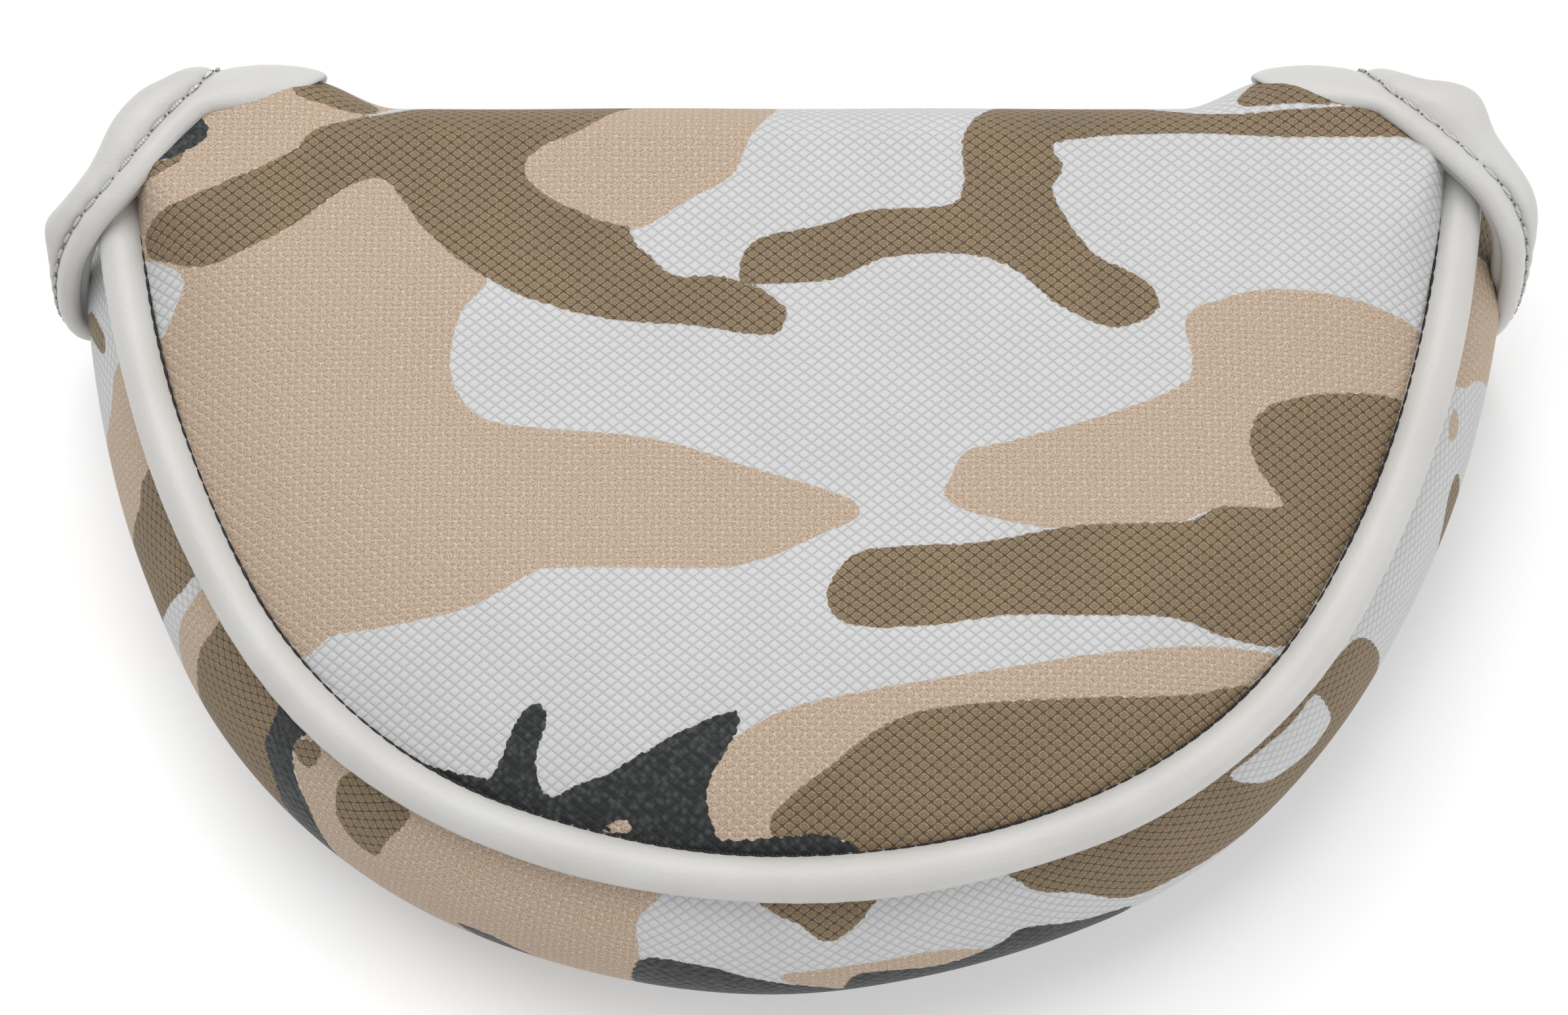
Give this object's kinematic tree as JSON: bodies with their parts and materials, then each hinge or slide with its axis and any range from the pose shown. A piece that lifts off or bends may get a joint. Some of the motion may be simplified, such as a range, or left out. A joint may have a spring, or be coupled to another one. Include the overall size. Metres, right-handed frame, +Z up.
{
  "type": "putter head cover",
  "caption": "Padded half-moon cover for a mallet putter head, with piped seams, slanted shaft mouths bound by soft collars, and a magnetic face flap.",
  "frame": {"origin": "below the middle of the overall box, on the plane the cover rests on", "axes": "+X from heel to toe along the length, +Y towards the flat face side with the flap, +Z up through the thickness"},
  "size_m": [0.1452, 0.086, 0.036],
  "materials": {
    "camo_skin": "embossed synthetic leather printed in white, tan, olive brown and charcoal",
    "white_trim": "smooth soft synthetic leather",
    "foam": "soft closed-cell padding",
    "plush_lining": "short plush pile",
    "piping_cord": "twisted cotton filler cord",
    "seam_tape": "woven binding tape",
    "sewing_thread": "bonded polyester thread",
    "stiffener": "thin flexible board",
    "magnet": "nickel-plated disc"
  },
  "bodies": {
    "cover": {"bottom_foam": "foam", "bottom_lining": "plush_lining", "bottom_panel": "camo_skin", "bottom_piping": "white_trim", "bottom_piping_cord": "piping_cord", "bottom_seam_tape": "seam_tape", "collar_left": "white_trim", "collar_left_padding": "foam", "collar_left_thread": "sewing_thread", "collar_right": "white_trim", "collar_right_padding": "foam", "collar_right_thread": "sewing_thread", "front_lip": "camo_skin", "gusset": "camo_skin", "gusset_foam": "foam", "gusset_lining": "plush_lining", "lip_lining": "plush_lining", "lip_magnet_left": "magnet", "lip_magnet_right": "magnet", "lip_stiffener": "stiffener", "top_foam": "foam", "top_lining": "plush_lining", "top_panel": "camo_skin", "top_piping": "white_trim", "top_piping_cord": "piping_cord", "top_seam_tape": "seam_tape", "top_seam_thread": "sewing_thread"},
    "flap": {"flap_binding_left": "white_trim", "flap_binding_left_padding": "foam", "flap_binding_left_thread": "sewing_thread", "flap_binding_right": "white_trim", "flap_binding_right_padding": "foam", "flap_binding_right_thread": "sewing_thread", "flap_foam": "foam", "flap_hem_thread": "sewing_thread", "flap_lining": "plush_lining", "flap_magnet_left": "magnet", "flap_magnet_right": "magnet", "flap_panel": "camo_skin"}
  },
  "joints": [
    {"name": "flap_fold", "type": "hinge", "parent": "cover", "child": "flap", "pos_m": [0, 0.0333, 0.036], "axis": [1, 0, 0], "range_deg": [0, 120]}
  ]
}
